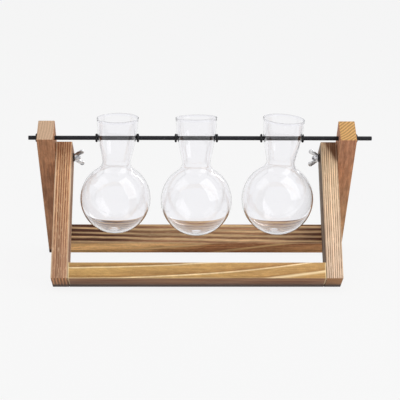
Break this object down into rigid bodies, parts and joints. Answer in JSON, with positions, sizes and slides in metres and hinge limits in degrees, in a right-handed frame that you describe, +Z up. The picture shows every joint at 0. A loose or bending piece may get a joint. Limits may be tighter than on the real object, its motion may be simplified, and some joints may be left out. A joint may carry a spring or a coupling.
{
  "type": "bulb vase stand",
  "caption": "Folding wooden A-frame stand with clear glass bulb vases hung by their necks on a black rod, held open by wing nuts at its pivots.",
  "frame": {"origin": "on the floor under the middle of the rod, between the feet of the two frames", "axes": "+Z up, +X along the rod to the viewer's right, -Y towards the viewer"},
  "size_m": [0.345, 0.1758, 0.1628],
  "materials": {
    "torched_pine": "torched and brushed, satin",
    "dowel_beech": "plain",
    "zinc_steel": "bright zinc plate",
    "dark_steel": "black oxide",
    "black_rod": "satin black",
    "black_rubber": "matt",
    "clear_glass": "clear blown glass"
  },
  "bodies": {
    "front_frame": {"front_left_leg": "torched_pine", "front_right_leg": "torched_pine", "front_crossbar": "torched_pine", "front_left_front_dowel": "dowel_beech", "front_left_back_dowel": "dowel_beech", "front_right_front_dowel": "dowel_beech", "front_right_back_dowel": "dowel_beech"},
    "rear_frame": {"rear_left_leg": "torched_pine", "rear_right_leg": "torched_pine", "rear_crossbar": "torched_pine", "rear_left_front_dowel": "dowel_beech", "rear_left_back_dowel": "dowel_beech", "rear_right_front_dowel": "dowel_beech", "rear_right_back_dowel": "dowel_beech", "left_pivot_bolt": "zinc_steel", "right_pivot_bolt": "zinc_steel"},
    "rod": {"hanging_rod": "black_rod", "left_end_ring": "black_rubber", "right_end_ring": "black_rubber", "left_vase_left_ring": "black_rubber", "left_vase_right_ring": "black_rubber", "middle_vase_left_ring": "black_rubber", "middle_vase_right_ring": "black_rubber", "right_vase_left_ring": "black_rubber", "right_vase_right_ring": "black_rubber"},
    "left_hung_vase": {"left_vase": "clear_glass"},
    "middle_hung_vase": {"middle_vase": "clear_glass"},
    "right_hung_vase": {"right_vase": "clear_glass"},
    "left_washer": {"left_nut_washer": "dark_steel"},
    "left_nut": {"left_wing_nut": "zinc_steel"},
    "right_washer": {"right_nut_washer": "dark_steel"},
    "right_nut": {"right_wing_nut": "zinc_steel"}
  },
  "joints": [
    {"name": "frame_fold", "type": "hinge", "parent": "front_frame", "child": "rear_frame", "pos_m": [-0.0036, 0, 0.11749], "axis": [1, 0, 0], "range_deg": [-55, 70]},
    {"name": "rod_turn", "type": "hinge", "parent": "rear_frame", "child": "rod", "pos_m": [0, -0.01602, 0.14045], "axis": [1, 0, 0], "continuous": true},
    {"name": "left_vase_swing", "type": "hinge", "parent": "rear_frame", "child": "left_hung_vase", "pos_m": [-0.08347, -0.01602, 0.14045], "axis": [1, 0, 0], "continuous": true},
    {"name": "middle_vase_swing", "type": "hinge", "parent": "rear_frame", "child": "middle_hung_vase", "pos_m": [-0.0041, -0.01602, 0.14045], "axis": [1, 0, 0], "continuous": true},
    {"name": "right_vase_swing", "type": "hinge", "parent": "rear_frame", "child": "right_hung_vase", "pos_m": [0.08207, -0.01602, 0.14045], "axis": [1, 0, 0], "continuous": true},
    {"name": "left_washer_slide", "type": "slide", "parent": "front_frame", "child": "left_washer", "axis": [1, 0, 0], "range_m": [0, 0.0014]},
    {"name": "left_nut_turn", "type": "hinge", "parent": "left_washer", "child": "left_nut", "pos_m": [-0.1281, 0, 0.11749], "axis": [1, 0, 0], "range_deg": [0, 720]},
    {"name": "right_washer_slide", "type": "slide", "parent": "front_frame", "child": "right_washer", "axis": [-1, 0, 0], "range_m": [0, 0.0014]},
    {"name": "right_nut_turn", "type": "hinge", "parent": "right_washer", "child": "right_nut", "pos_m": [0.1209, 0, 0.11749], "axis": [-1, 0, 0], "range_deg": [0, 720]}
  ],
  "couplings": [
    {"joint": "left_nut_turn", "follows": "left_washer_slide", "rad_per_m": 8975.9},
    {"joint": "right_nut_turn", "follows": "right_washer_slide", "rad_per_m": 8975.9}
  ]
}
